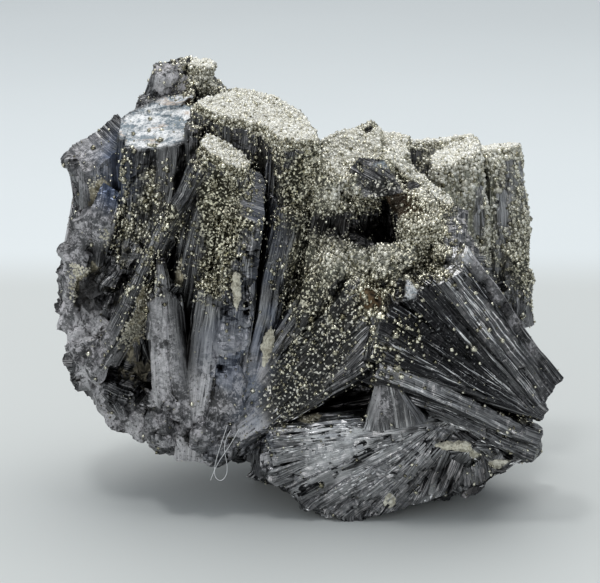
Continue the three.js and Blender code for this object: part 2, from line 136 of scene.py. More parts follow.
class Net:
    def __init__(self, name):
        self.material = bpy.data.materials.new(name)
        self.material.use_nodes = True
        self.tree = self.material.node_tree
        self.tree.nodes.clear()
        self.surface = self.tree.nodes.new("ShaderNodeBsdfPrincipled")
        output = self.tree.nodes.new("ShaderNodeOutputMaterial")
        self.tree.links.new(self.surface.outputs[0], output.inputs["Surface"])

    def feed(self, socket, value):
        if isinstance(value, Wire):
            self.tree.links.new(value.socket, socket)
        elif socket.type == "RGBA":
            socket.default_value = (*value, 1)
        else:
            socket.default_value = value

    def node(self, kind, settings=None, inputs=(), out=0):
        """Makes one node: its settings first, then its inputs, given by place or by name."""
        made = self.tree.nodes.new(kind)
        for setting, value in (settings or {}).items():
            setattr(made, setting, value)
        pairs = inputs.items() if isinstance(inputs, dict) else enumerate(inputs)
        for socket, value in pairs:
            self.feed(made.inputs[socket], value)
        return Wire(self, made.outputs[out])

    def mix(self, factor, first, second):
        return self.node("ShaderNodeMix", {"data_type": "RGBA"}, {0: factor, 6: first, 7: second}, out=2)

    def noise(self, where, scale, detail=3, roughness=0.5):
        inputs = {"Vector": where, "Scale": scale, "Detail": detail, "Roughness": roughness}
        return self.node("ShaderNodeTexNoise", None, inputs)

    def attribute(self, name):
        return self.node("ShaderNodeAttribute", {"attribute_name": name}, out=2)

    def place(self):
        return self.node("ShaderNodeTexCoord", out=3)

    def coats(self, colour, coats):
        """Lays colours over one another. Each coat is the share it covers and its colour."""
        for share, tint in coats:
            colour = self.mix(share, colour, tint)
        return colour

    def streaks(self, where, scale, roughness=0.6):
        """Noise with a scale of its own in each direction."""
        stretched = self.node("ShaderNodeMapping", None, {"Vector": where, "Scale": scale})
        return self.noise(stretched, 1.0, 3, roughness)

    def cells(self, where, scale, out=0):
        """Cells of space: the way to the middle of each, or with out=1 its random colour."""
        inputs = {"Vector": where, "Scale": scale, "Randomness": 1}
        return self.node("ShaderNodeTexVoronoi", {"feature": "F1"}, inputs, out)

    def chance(self, where, scale):
        """A random number for each cell of space."""
        return self.node("ShaderNodeSeparateColor", None, [self.cells(where, scale, out=1)])

    def bump(self, height, distance, strength=1.0):
        return self.node("ShaderNodeBump", None, {"Height": height, "Distance": distance, "Strength": strength})

    def finish(self, **inputs):
        for name, value in inputs.items():
            self.feed(self.surface.inputs[name.replace("_", " ")], value)
        return self.material


print("shader helpers ready")


# %% [markdown]
# ## Table, backdrop and lights
# Metal shows what is round it. The crystals need a bright, wide light above and behind, a pale table below,
# and a darker room in front, so that some of their faces flash and the others stay black.

# %% Table
TABLE_EDGE = 85 * MM
FLOOR_SIZE = 1.6
EDGE_BLUR = 12 * MM
FADE_LENGTH = 260 * MM


def stage_material(name, near, far):
    net = Net(name)
    where = net.place()
    depth = net.node("ShaderNodeSeparateXYZ", None, [where], out=1)
    beyond = depth.between(TABLE_EDGE - EDGE_BLUR, TABLE_EDGE + EDGE_BLUR)
    fading = 1 - 0.26 * depth.between(TABLE_EDGE, TABLE_EDGE + FADE_LENGTH)
    cloud = (net.noise(where, 14, 2) * 0.06 + 0.97) * fading
    shade = net.mix(beyond, near, far)
    toned = net.node("ShaderNodeVectorMath", {"operation": "SCALE"}, {0: shade, "Scale": cloud})
    return net.finish(Base_Color=toned, Roughness=0.55)


def mesh_object(name, bm, material):
    """Turns a bmesh into a linked object with one material."""
    mesh = bpy.data.meshes.new(name)
    bm.to_mesh(mesh)
    bm.free()
    mesh.materials.append(material)
    return linked(name, mesh)


bm = bmesh.new()
bmesh.ops.create_grid(bm, x_segments=1, y_segments=1, size=FLOOR_SIZE / 2)
floor = mesh_object("table", bm, stage_material("table", (0.60, 0.625, 0.62), (0.72, 0.765, 0.785)))
print("table:", FLOOR_SIZE, "m across")

# %% Lights
ROOM_COLOUR = (0.84, 0.90, 0.95, 1)
ROOM_STRENGTH = 0.44
world = bpy.data.worlds.new("room")
bpy.context.scene.world = world
world.use_nodes = True
room = world.node_tree.nodes["Background"].inputs
room["Color"].default_value = ROOM_COLOUR
room["Strength"].default_value = ROOM_STRENGTH


def softbox(name, at, size, brightness, colour=(1, 1, 1)):
    """A rectangular light that faces the specimen. Its power follows from its brightness and size."""
    data = bpy.data.lights.new(name, "AREA")
    data.shape = "RECTANGLE"
    data.size, data.size_y = size
    data.energy = brightness * math.pi * size[0] * size[1]
    data.color = colour
    light = linked(name, data)
    light.location = at
    light.rotation_euler = (Vector(at) - look_at).to_track_quat("Z", "Y").to_euler()


softbox("overhead", (0.05, 0.21, 0.60), (0.90, 0.62), 1.95, (1.0, 0.99, 0.97))
softbox("glint", (-0.12, -0.05, 0.60), (0.09, 0.09), 22.0)
softbox("front", (-0.22, -0.55, 0.20), (0.45, 0.22), 2.0, (1.0, 0.98, 0.95))


# %% [markdown]
# ## Zones on the specimen
# No two parts of this specimen have the same finish: it is fresh and glossy here, broken or weathered there.
# Soft round zones say where. Each row is a middle (x, y, z) and a reach (across, in depth and in height) in
# millimetres, and an amount. Shape, colour and the number of grains all use them, so these always agree.

# %% Soft zones
WEATHERED = [
    (-28.5, -2, 27, 4, 9, 10, 1.1), (-26.5, -7.5, 19, 5, 7, 6, 1.0), (-24.4, -6.4, 34, 2.6, 3, 2.4, 0.9),
    (-20, -8, 9, 6, 7, 4.5, 0.9), (-16.7, -12.8, 22, 2.4, 4, 9, 0.75), (-14, -12.8, 12, 4.5, 4, 5, 0.7),
    (-25.5, 1, 40, 3.5, 5, 4, 0.8), (-16.5, 5, 49.5, 3, 5, 2.4, 0.9), (9.5, -16.3, 15.2, 2.2, 1.6, 3, 0.9),
    (20.5, -13.2, 31.5, 1.3, 1.6, 2, 0.8), (22.6, -13.2, 28.2, 1.3, 1.6, 2, 0.8),
    (24.8, -13.3, 24.7, 1.3, 1.6, 2, 0.8), (26.8, -13.4, 21, 1.3, 1.6, 2, 0.8), (6, 18, 7, 14, 7, 6, 0.6),
    (28, 4, 14, 4, 8, 6, 0.5), (-9, -13.2, 13, 3.8, 4, 8, 0.95), (-5.5, -12.6, 16, 2, 4, 6, 0.5),
]
FROSTED = [
    (-18, -1.5, 44.9, 5, 6.5, 2.0, 1.2), (-15, 1.4, 47.2, 3, 3, 1.2, 0.9), (12.4, -16.6, 29.6, 1.2, 2, 1.6, 0.75),
    (9.7, -8.4, 42.2, 2.6, 1.6, 0.7, 0.8), (-10.4, -13, 26.5, 1.2, 2, 3, 0.3),
]
BLUED = [
    (-5.2, -12.6, 14.7, 1.8, 4, 4, 1.2), (-9, -13, 17, 4, 4, 8, 0.3), (-4.5, -12, 24, 2, 4, 7, 0.3),
    (-23, -1, 39, 2.6, 5, 4, 0.85), (-6, -12, 38, 3, 4, 7, 0.2),
]
GLOSSY = [
    (15.5, -16.5, 25, 8, 4, 8, 1.3), (22.4, -14.5, 24.5, 4.4, 5, 7, 1.1), (10, -14, 15, 9, 4, 4, 0.6),
]
HAZY = [
    (-11, 5.7, 49.5, 2.8, 4, 2.8, 0.6), (20, 6, 34, 8, 8, 9, 0.9), (8, -12.3, 32, 6, 3.5, 2, 0.6),
    (13.5, -10.8, 36.5, 3, 3.5, 2.6, 0.12), (3.4, -7.6, 37, 3, 4, 6, 0.3), (5.4, -8.4, 39.2, 2.8, 2.4, 1, 0.9),
    (-18.5, -5.4, 35, 3, 3, 8, 0.3), (4.5, -8.8, 30, 4, 4, 3, 0.25), (-2, -4, 46.5, 8, 8, 2, 0.6),
]
# Painted shade: dark holes and gaps that lie in shade, painted near black; grains are thinned there.
PAINTED_SHADE = [
    (9.6, -5.1, 33.7, 3.2, 4, 2.2, 1.2), (11.2, -8.6, 37.3, 1.8, 3, 1.1, 0.8), (3.4, -8.9, 35.2, 4.2, 3, 2, 1.1),
    (7.6, -9.8, 33.8, 2, 2.4, 0.8, 0.9), (17.4, -13.8, 5.6, 4.6, 3, 1.5, 1.0), (4.4, -7.5, 12.6, 5, 4, 1.8, 1.1),
    (-19.8, -5.4, 15.5, 2, 3, 2.6, 0.9), (-25.8, -4.8, 25.2, 1.5, 3, 2.4, 1.1), (-14.9, -5, 39.5, 0.9, 3, 4.5, 1.1),
    (-13.6, -11.5, 20.9, 0.8, 3, 5, 1.2), (-24.9, -1, 36, 1, 2, 1.6, 0.9), (14.3, 1, 36.6, 2.4, 6, 1.2, 0.7),
    (12, -15.5, 14, 6, 3, 1, 0.5),
]
GREYED = [
    (-9.5, -13.2, 14, 4, 5, 8, 0.75), (-5, -12.5, 22, 2, 5, 9, 0.45), (8, -14, 8, 16, 5, 6, 0.6),
    (-7, -12, 40, 2.5, 4, 5, 0.3), (22, 6, 33, 8, 7, 10, 0.85), (0, 17, 22, 26, 7, 18, 0.5),
]
GRITTY = [
    (3.4, -13.6, 26, 3.6, 4, 4, 1.1), (1, -13.7, 20.5, 4, 4, 4.5, 1.1), (-2.6, -13.4, 14.5, 3.4, 4, 4, 1.0),
    (-18.4, -5.4, 36, 3, 3, 7, 0.5), (9.7, -8.7, 39.6, 2.6, 2, 1.6, 0.9), (0, 14, 24, 26, 7, 16, 0.35),
]
BROKEN = [
    (4, -14, 7, 8, 5, 6, 1.1), (14, -14, 7, 8, 5, 5, 1.0), (20, -13, 6, 7, 6, 5, 0.8),
]
# Flakes of cleavage, partly painted highlight: bright patches on broken ends, and brighter shards there.
FLAKY_GLINT = [
    (18.4, -13.4, 33.2, 1.7, 1.8, 1.3, 1.6), (2.7, -14, 11.9, 5.5, 3, 1.6, 1.2), (5, -14.5, 8, 7, 4, 4, 0.5),
    (13, -15, 9, 6, 4, 3, 0.35),
]
FILLED = [
    (-26.4, -5.2, 28.4, 1.8, 4, 1.2, 1.3), (-27.6, -5, 25.6, 0.8, 4, 2.4, 1.1),
    (-20.4, -7.3, 21.4, 2.4, 4, 3.4, 1.3), (-23.6, -6.4, 32.6, 0.9, 3, 3, 0.9),
    (-24.6, -1.5, 37.3, 1.6, 3, 2.6, 1.2), (-19.8, -5.4, 15.5, 3, 4, 3, 0.7), (-14.4, -11.5, 30, 1.3, 3, 3, 1.0),
    (-19, -9.5, 26, 1.4, 3, 4, 0.8), (1.1, -12.8, 12.2, 1.6, 2, 0.5, 1.1),
]
CREAMY = [
    (18.6, -14.3, 9.1, 1.6, 2, 0.5, 1.2), (20.6, -14.2, 8.2, 1.3, 2, 0.6, 1.1),
    (23.6, -13.3, 6.6, 1.5, 2, 0.7, 1.3), (10.3, -14.8, 2.6, 0.9, 2, 1, 1.2), (26, -13.6, 12.5, 1.1, 1.5, 0.5, 1.2),
    (16.6, -14.4, 7.9, 0.5, 1, 0.4, 1.2), (3.4, -12.6, 13.6, 1.6, 2, 0.4, 1.0), (-3.6, -12.6, 20, 0.5, 2, 1.4, 0.9),
]
RUSTED = [
    (11.3, -8.9, 37.6, 2.4, 3, 1.6, 1.6), (7.8, -14.2, 27.8, 2, 3, 2.2, 1.2), (14.5, 4, 37.5, 2.6, 7, 2.2, 1.0),
    (-13.4, 2, 47.6, 1.6, 3, 1.2, 1.2), (2, -6, 30, 4, 5, 4, 0.4), (-18.3, -5.6, 33, 2, 3, 3, 0.5),
]
# Where grains sit on the crystals: the amount is their number on a square millimetre.
SPRINKLED = [
    (-11, 5.7, 49.2, 2.8, 4, 2.6, 18), (-9.7, -11.3, 39, 2.6, 3, 3.6, 17), (-9.6, -12.5, 34, 2.3, 3, 4, 16),
    (-11, -11.7, 29.2, 2, 3, 3.4, 11), (-6.7, -12.4, 36.3, 2.6, 2, 0.5, 10), (-2.5, -11.5, 39, 1.5, 3, 5, 6),
    (1.3, -8.9, 40.5, 2.8, 4, 4, 20), (1.9, -9.2, 34, 3, 4, 5, 18), (-0.6, -9.6, 28.5, 2.3, 4, 4, 9),
    (4.5, -8.5, 37.5, 3, 4, 3.4, 13), (-18.3, -5.4, 38.5, 2.6, 3, 5, 7), (-20.6, -5.4, 31.5, 2.4, 3, 5, 6),
    (-21.6, -6.5, 36, 0.8, 3, 8, 6), (-15.4, -10.6, 36.5, 1.4, 3, 3, 9), (-18, -10.8, 31, 1.2, 3, 4, 8),
    (-21.3, -9.8, 25, 1.3, 3, 4, 6), (-24, -10, 19.5, 1.2, 3, 3, 3), (10.1, -12.5, 32, 4, 4, 2, 20),
    (3.9, -12, 31.7, 3, 3, 1.8, 20), (7.8, -14.3, 27.8, 2, 3, 2, 14), (3.2, -13.6, 25.5, 4, 4, 4, 5),
    (-0.5, -13.7, 19.6, 5, 4, 5, 3.6), (-4, -13.2, 13, 3.4, 4, 4, 3), (9.5, -16.3, 22.5, 2.6, 4, 3.5, 4),
    (13.5, -10.8, 36, 2.6, 4, 2.8, 18), (15.2, -11.5, 31.6, 2, 4, 2, 10), (5.5, -7.6, 37.4, 3, 4, 2.4, 14),
    (9.7, -8.2, 41.6, 2.6, 2, 0.9, 6), (17, -4, 37, 3, 5, 3, 12), (15.5, -16.7, 25, 7, 4, 6, 0.45),
    (18, 5, 37, 3.4, 6, 4.5, 20), (23, 6.4, 35, 3, 6, 6, 15), (27.5, 8, 27, 3, 6, 7, 11), (20, 6, 28, 4, 6, 5, 11),
    (8, 2, 40, 5, 5, 3, 16), (18.4, -13.6, 5.2, 5, 3, 1.6, 3), (24, -12, 11, 3, 4, 3, 2), (0, 10, 36, 25, 10, 8, 3),
    (14, 19, 28, 6, 5, 5, 9), (-8, 20, 24, 6, 5, 6, 7), (2, 17, 34, 7, 6, 4, 8), (24, 14, 20, 5, 6, 5, 6),
]
BARE = [
    (-18.5, -1, 45, 4.6, 7, 2.2, 0.93), (-25.5, -3, 36, 4, 6, 5, 0.85), (-28, -4, 20, 6, 8, 10, 0.95),
    (-17, 5, 49.5, 2.4, 6, 2.4, 0.9), (9, -9, 39.7, 3.2, 2.4, 2, 0.95), (21.7, 5.5, 32.5, 0.9, 4, 5, 1.0),
    (24.7, 7, 32.5, 1.2, 4, 5.5, 1.0),
]


def amount_near(places, zones):
    """The sum of soft round zones at some places in millimetres."""
    total = np.zeros(len(places))
    for x, y, z, wide, deep, high, amount in zones:
        away = (places - (x, y, z)) / (wide, deep, high)
        total += amount * np.exp(-(away ** 2).sum(axis=1))
    return total


def amount_at(place, zones):
    return amount_near(np.array([place]), zones)[0]


def bare_share(places):
    """Thins out the grains where the specimen has none."""
    covered = 0.9 * amount_near(places, PAINTED_SHADE + FILLED) + 0.25 * amount_near(places, RUSTED)
    return 1 - np.clip(amount_near(places, BARE) + covered, 0, 0.97)


FINISHES = {"weathered": WEATHERED, "frosted": FROSTED, "blued": BLUED, "flaky_glint": FLAKY_GLINT, "filled": FILLED,
            "rusted": RUSTED, "greyed": GREYED, "painted_shade": PAINTED_SHADE, "glossy": GLOSSY, "gritty": GRITTY, "hazy": HAZY,
            "creamy": CREAMY, "broken": BROKEN}
print("zones:", {name: len(zones) for name, zones in FINISHES.items()})

# %% [markdown]
# ## The enargite: striae cut into the solid
# The solid has flat facets, one for each rib of a prism. A real face is a bundle of thin parallel rods, so
# each facet is sliced into strips along its crystal, each strip is cut across here and there, and the new
# corners are moved in and out by a noise that is stretched along the crystal. Broken and weathered places get
# short chips with sharp borders instead. At last the whole specimen is bent a little, because nothing that
# grew is quite straight.

# %% Facets of the solid
WELD = 2e-6
COPLANAR = math.radians(2.5)
RIB_ANGLE = math.radians(58)
SHORTEST_RIB = 1.5 * MM


def welded_copy(node):
    bm = bmesh.new()
    bm.from_mesh(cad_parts[node].data)
    bmesh.ops.remove_doubles(bm, verts=bm.verts, dist=WELD)
    bmesh.ops.dissolve_limit(bm, angle_limit=COPLANAR, verts=bm.verts, edges=bm.edges)
    bm.normal_update()
    return bm


def is_rib(edge):
    """True on an edge between two ribs of one crystal: convex and blunt."""
    return len(edge.link_faces) == 2 and edge.is_convex and edge.calc_face_angle() < RIB_ANGLE


def run_of(edges):
    """The main direction of some edges, and how strongly they share it, from 0.33 to 1."""
    spread = np.zeros((3, 3))
    for edge in edges:
        along = np.array(edge.verts[1].co - edge.verts[0].co)
        spread += np.outer(along, along)
    values, vectors = np.linalg.eigh(spread)
    return Vector(vectors[:, 2]), values[2] / max(values.sum(), 1e-30)


def kind_of(face):
    """Tells the side of a crystal from its end and from a lump, and gives the direction of its striae."""
    ribs = [edge for edge in face.edges if is_rib(edge)]
    middle = face.calc_center_median() / MM
    if not ribs or max(edge.calc_length() for edge in ribs) < SHORTEST_RIB:
        return "end", run_of(face.edges)[0]
    axis, shared = run_of(ribs)
    if amount_at(middle, BROKEN) > 0.5:
        return "broken", axis
    if shared < 0.93 or amount_at(middle, WEATHERED) > 0.8:
        return "lump", axis
    return "side", axis


enargite_bm = welded_copy("enargite_crystals")
tone_layer = enargite_bm.faces.layers.float.new("tone")
flash_layer = enargite_bm.faces.layers.float.new("flash")
run_layer = enargite_bm.faces.layers.float_vector.new("run")
uv_layer = enargite_bm.loops.layers.uv.new("along_crystal")
facets = [(face, *kind_of(face), face.normal.copy()) for face in enargite_bm.faces]
print("facets:", {kind: sum(1 for facet in facets if facet[1] == kind) for kind in ("side", "broken", "lump", "end")})

# %% Slice the facets
# For each kind of facet: the narrowest and widest strip, and the shortest and longest piece of a strip.
CUTS = {"side": ((0.12, 0.62), (1.3, 3.6)), "broken": ((0.12, 0.46), (1.0, 4.0)),
        "lump": ((0.28, 0.6), (0.28, 0.6)), "end": ((0.3, 0.6), (0.3, 0.6))}
SEED = 11
rng = np.random.default_rng(SEED)


def cuts_between(low, high, pitch):
    """Places from low to high at random distances within pitch, more of them short than long."""
    narrow, wide = (size * MM for size in pitch)
    places = []
    at = low + narrow
    while at < high - 0.7 * narrow:
        places.append(at)
        at += narrow + (wide - narrow) * rng.random() ** 1.6
    return places


def split_face(face, across, at, along):
    """Cuts one face by a plane square to across and returns its parts."""
    crossings = []
    for edge in list(face.edges):
        start, end = (vert.co.dot(across) - at for vert in edge.verts)
        if start * end < 0:
            crossings.append(bmesh.utils.edge_split(edge, edge.verts[0], start / (start - end))[1])
    parts = [face]
    if len(crossings) % 2:
        return parts
    crossings.sort(key=lambda vert: vert.co.dot(along))
    for first, second in zip(crossings[::2], crossings[1::2]):
        holder = next((part for part in parts if first in part.verts and second in part.verts), None)
        if holder:
            parts.append(bmesh.utils.face_split(holder, first, second)[0])
    return parts


def slice_face(face, across, along, pitch):
    """Cuts a face by planes square to across, and returns its parts, a list for each strip."""
    reach = [vert.co.dot(across) for vert in face.verts]
    strips, todo = [], [face]
    for at in cuts_between(min(reach), max(reach), pitch):
        above, below = [], []
        for whole in todo:
            for part in split_face(whole, across, at, along):
                middle = sum(vert.co.dot(across) for vert in part.verts) / len(part.verts)
                (above if middle > at else below).append(part)
        strips.append(below)
        todo = above
    return strips + [todo]


def chipped(place, size):
    """Nearly flat chips that meet in sharp creases: each cell of space tilts its own part of the surface."""
    lifts = []
    for cell in noise.voronoi(place / size)[1]:
        away = place / size - cell
        tilt = noise.cell_vector(cell * 29) - Vector((0.5, 0.5, 0.5))
        lifts.append(tilt.dot(away) * 1.6 - 0.6 * away.length_squared)
    return max(lifts) * size


def lift_at(kind, place, u, v, seed):
    """How far a corner of a facet stands out, in millimetres. u runs across the striae and v along them."""
    def ribs(across, along, shift=0):
        return noise.noise(Vector((u * across, v * along, seed + shift)))

    if kind == "side":
        return 0.19 * ribs(3.4, 0.16) + 0.15 * ribs(0.9, 0.07, 9) + 0.05 * ribs(5, 0.8, 20)
    if kind == "broken":
        lift = 0.30 * ribs(2.6, 0.35) + 0.22 * ribs(0.9, 0.3, 9)
        return lift + 0.35 * chipped(place, 1.8) + 0.10 * noise.noise(place * 2.5)
    if kind == "lump":
        lift = 0.5 * noise.noise(place * 0.3) + 0.7 * chipped(place, 3.8) + 0.5 * chipped(place, 1.5)
        return lift + 0.3 * noise.fractal(place * 0.7, 0.7, 2.0, 4) - 0.1
    return 0.20 * noise.noise(place * 1.6) + 0.25 * chipped(place, 1.5)


def chip_tone(part):
    """The same random tone for all of one large chip."""
    return noise.cell(noise.voronoi(part.calc_center_median() / MM / 3.8)[1][0] * 31)


push = {}
for face, kind, axis, normal in facets:
    across = normal.cross(axis).normalized()
    seed, tone = rng.uniform(0, 50), rng.uniform(0, 1)
    strip_pitch, block_pitch = CUTS[kind]
    for strip in slice_face(face, across, axis, strip_pitch):
        flash = rng.random()
        blocks = [part for whole in strip for block in slice_face(whole, axis, across, block_pitch) for part in block]
        for part in blocks:
            part[tone_layer] = chip_tone(part) if kind == "lump" else tone
            part[flash_layer] = flash
            part[run_layer] = axis
            for loop in part.loops:
                place = loop.vert.co / MM
                u, v = across.dot(place), axis.dot(place)
                loop[uv_layer].uv = (u / 10 + seed, v / 10)
                push.setdefault(loop.vert, []).append(normal * lift_at(kind, place, u, v, seed))
print("parts:", len(enargite_bm.faces), "corners:", len(enargite_bm.verts))

# %% Move the corners
KNOBS = 0.5
ON_THE_TABLE = 0.02 * MM
BEND_SEED = 7
# Blender's vector noise starts from the clock unless it is given a seed of its own.
noise.seed_set(BEND_SEED)


def bent(place):
    """Bends space a little, the same way for all pieces. The foot keeps its height."""
    shift = noise.noise_vector(place * 0.12) * 0.6 + noise.noise_vector(place * 0.6) * 0.07
    shift.z *= min(max(place.z / 3, 0), 1)
    return place + shift


def corners_of(mesh):
    places = np.empty(len(mesh.vertices) * 3)
    mesh.vertices.foreach_get("co", places)
    return places.reshape(-1, 3) / MM


resting = [vert.co.z < ON_THE_TABLE for vert in enargite_bm.verts]
coated = np.clip(amount_near(np.array([vert.co[:] for vert in enargite_bm.verts]) / MM, SPRINKLED) / 12, 0, 1)
for vert, rests, coat in zip(enargite_bm.verts, resting, coated):
    place = vert.co / MM
    if not rests:
        moves = push.get(vert, [Vector()])
        place += sum(moves, Vector()) / len(moves)
        place += vert.normal * coat * KNOBS * (noise.noise(place * 1.3) + 0.5 * noise.noise(place * 3.1))
        place.z = max(place.z, 0)
    vert.co = bent(place) * MM
    vert.co.z = max(vert.co.z, 0)
bmesh.ops.triangulate(enargite_bm, faces=enargite_bm.faces)
enargite_bm.normal_update()
enargite_tree = BVHTree.FromBMesh(enargite_bm)
print("triangles:", len(enargite_bm.faces))

# %% [markdown]
# ## Where the finish changes
# Fresh enargite is nearly black with a metallic shine. Where it is old it has gone dull and light grey, its
# broken ends are frosted, and the deep gaps hold a crumbly cream mineral and rust. Vertex attributes carry
# the amounts to the material. How deep a corner lies between its neighbours is measured with short rays,
# because dirt and fillings follow the gaps, and the deep gaps are also painted dark as shade.

# %% Depth between neighbours
LONGEST_RAY = 4.5 * MM
RAY_START = 0.05 * MM
RAYS = 20


def round_directions(count):
    """Unit vectors spread evenly over a sphere."""
    turn = math.pi * (3 - math.sqrt(5))
    heights = [1 - (2 * step + 1) / count for step in range(count)]
    rings = [math.sqrt(1 - height * height) for height in heights]
    return [Vector((ring * math.cos(turn * step), ring * math.sin(turn * step), height))
            for step, (ring, height) in enumerate(zip(rings, heights))]


def depth_at(place, normal, directions):
    """0 on an open surface, 1 at the bottom of a gap: the share of near rays that hit something."""
    start = place + normal * RAY_START
    met = total = 0.0
    for direction in directions:
        facing = direction.dot(normal)
        if facing > 0.1:
            total += facing
            hit = enargite_tree.ray_cast(start, direction, LONGEST_RAY)[3]
            met += facing * (1 - hit / LONGEST_RAY) if hit is not None else 0
    return met / max(total, 1e-6)


directions = round_directions(RAYS)
depth_layer = enargite_bm.verts.layers.float.new("depth")
for vert in enargite_bm.verts:
    vert[depth_layer] = depth_at(vert.co, vert.normal, directions)
print("mean depth:", round(np.mean([vert[depth_layer] for vert in enargite_bm.verts]), 3))


# %% Enargite material
# Painted shade: the near black painted into deep gaps and the shade zones.
SHADE_BLACK = (0.012, 0.011, 0.010)
# Painted highlight: the bright colour of the streaks of light along the striae.
GLEAM = (0.85, 0.85, 0.86)


def enargite_material():
    net = Net("enargite")
    where = net.place()
    grain = net.node("ShaderNodeUVMap", {"uv_map": "along_crystal"})
    tone, flash, depth, coated = (net.attribute(name) for name in ("tone", "flash", "depth", "coated"))
    (weathered, frosted, blued, flaky_glint, filled, rusted, greyed,
     painted_shade, glossy, gritty, hazy, creamy, broken) = (net.attribute(name) for name in FINISHES)
    hair, fine, sheets = (net.streaks(grain, scale) for scale in ((80, 2.4, 1), (38, 0.7, 1), (5, 1.2, 1)))
    broad = net.streaks(grain, (12, 0.5, 1), 0.5)
    speck, patch = net.noise(where, 3200, 3, 0.7), net.noise(where, 170, 4, 0.6)
    stone, pits = net.noise(where, 1100, 4, 0.7), net.noise(where, 520, 4, 0.75)
    crumb, sugar = net.noise(where, 700, 4, 0.65), net.noise(where, 2300, 3, 0.8)

    # Painted highlights: the light streaks, the sheen bands and the gleaming strips and threads stand for light
    # reflected along the striae.
    streak = (fine * 0.45 + hair * 0.55).between(0.44, 0.62)
    shine = 0.25 + 0.75 * glossy
    sheen_bands = tone.between(0.80, 0.84) * (hair * 0.6 + broad * 0.4).between(0.38, 0.52) * shine
    glint_lines = flash.between(0.88, 0.90) * (hair * 0.75 + broad * 0.25).between(0.52, 0.57) * shine
    threads = (fine * 0.5 + hair * 0.5 + 0.5 * (broad - 0.5)).between(0.575, 0.615) * (0.2 + 0.8 * glossy)
    fresh = net.coats((0.028, 0.028, 0.030), [
        (streak, (0.19, 0.19, 0.195)),
        (glossy * 0.75, (0.010, 0.010, 0.011)),
        (sheen_bands, (0.36, 0.36, 0.37)),
        (glint_lines, GLEAM),
        (threads, GLEAM),
        (speck.between(0.60, 0.70) * 0.6, (0.50, 0.50, 0.50)),
        (greyed * (0.3 + 0.7 * hair.between(0.35, 0.6)), (0.46, 0.46, 0.475)),
        (broken * sheets.between(0.50, 0.40) * 0.75, (0.02, 0.02, 0.02)),
        (broken * sheets.between(0.56, 0.64) * 0.6, (0.55, 0.55, 0.56)),
        # Flakes on the broken ends, partly painted highlight: bright patches where they catch the light.
        (flaky_glint * (patch * 0.6 + hair * 0.4).between(0.42, 0.56), (0.85, 0.85, 0.87)),
        (blued * patch.between(0.38, 0.60) * 0.7, (0.16, 0.20, 0.33)),
    ])
    dull = net.coats((0.08, 0.08, 0.085), [
        ((tone * 0.8 + patch - 0.4).between(0.25, 0.75), (0.56, 0.555, 0.57)),
        (stone.between(0.46, 0.60) * 0.7, (0.72, 0.70, 0.73)),
        (speck.between(0.56, 0.66) * 0.9, (0.04, 0.04, 0.04)),
        (speck.between(0.44, 0.36) * 0.6, (0.80, 0.79, 0.80)),
        (pits.between(0.47, 0.36) * 0.9, (0.03, 0.03, 0.03)),
        (streak * 0.4, (0.08, 0.08, 0.085)),
    ])
    band = net.streaks(where, (120, 200, 1500))
    rusty_bands = net.streaks(where, (220, 400, 1500), 0.7).between(0.55, 0.64)
    frost = net.coats((0.20, 0.25, 0.29), [
        ((stone * 0.3 + sugar * 0.3 + band * 0.4).between(0.44, 0.56), (0.90, 0.91, 0.92)),
        (rusty_bands * 0.7, (0.66, 0.54, 0.45)),
        (speck.between(0.54, 0.62) * 0.6, (0.13, 0.15, 0.17)),
    ])
    filling = net.mix(crumb.between(0.4, 0.62), (0.17, 0.15, 0.09), (0.66, 0.60, 0.44))
    chalk = net.mix(stone.between(0.4, 0.62), (0.36, 0.34, 0.27), (0.80, 0.78, 0.68))
    rust = net.mix(crumb.between(0.4, 0.6), (0.03, 0.018, 0.010), (0.20, 0.13, 0.065))
    chance = net.chance(where, 4600)
    drusy = net.mix(chance.between(0.55, 0.95), (0.035, 0.033, 0.024), (1.0, 0.96, 0.76))
    drusy = net.mix(hazy * 0.75, drusy, (0.50, 0.50, 0.44))
    grit = net.mix(chance.between(0.78, 0.98), (0.024, 0.024, 0.022), (0.90, 0.88, 0.78))

    worn = (weathered + 0.55 * (patch - 0.5) + 0.3 * (tone - 0.5)).between(0.2, 0.8)
    frosty = (frosted + 0.5 * (stone - 0.5)).between(0.35, 0.6)
    inside = (filled * (0.4 + depth * 1.4) + 0.7 * (crumb - 0.5)).between(0.45, 0.62)
    cream = (creamy + 1.1 * (crumb - 0.5)).between(0.5, 0.62)
    sandy = (gritty + 0.9 * (patch - 0.5)).between(0.3, 0.7)
    cover = (coated + 0.9 * (crumb - 0.5)).between(0.3, 0.6)
    rusty = (rusted * (0.5 + depth) + 0.9 * (crumb - 0.5)).between(0.42, 0.6)
    # Painted shade: deep gaps and the painted shade zones go towards near black.
    lit = 1 - depth.between(0.30, 0.8) * (0.85 + 0.1 * worn)
    shaded = 1 - lit * (1 - painted_shade * patch.between(0.3, 0.5) * 0.93)
    colour = net.coats(fresh, [
        (worn, dull), (blued * patch.between(0.36, 0.60) * 0.5, (0.15, 0.21, 0.33)), (frosty, frost),
        (inside, filling), (cream, chalk), (sandy * 0.8, grit), (cover, drusy), (rusty, rust), (shaded, SHADE_BLACK),
    ])

    earthy = 1 - (1 - worn * 0.8) * (1 - inside) * (1 - rusty) * (1 - frosty) * (1 - cream)
    rough = (0.16 + 0.26 * fine) * (1 - earthy) + 0.62 * earthy
    relief = (fine + hair * 0.7) * (1 - 0.6 * earthy) + (stone * 2.5 + speck) * earthy + sugar * frosty * 2
    relief = relief + chance * cover * 1.5
    return net.finish(Base_Color=colour, Roughness=rough, Metallic=1 - 0.9 * earthy,
                      Normal=net.bump(relief, 0.10 * MM, 0.7))


# %% Enargite pieces
CUT_PLACES = (-13.3 * MM, 1.7 * MM, 12.2 * MM)


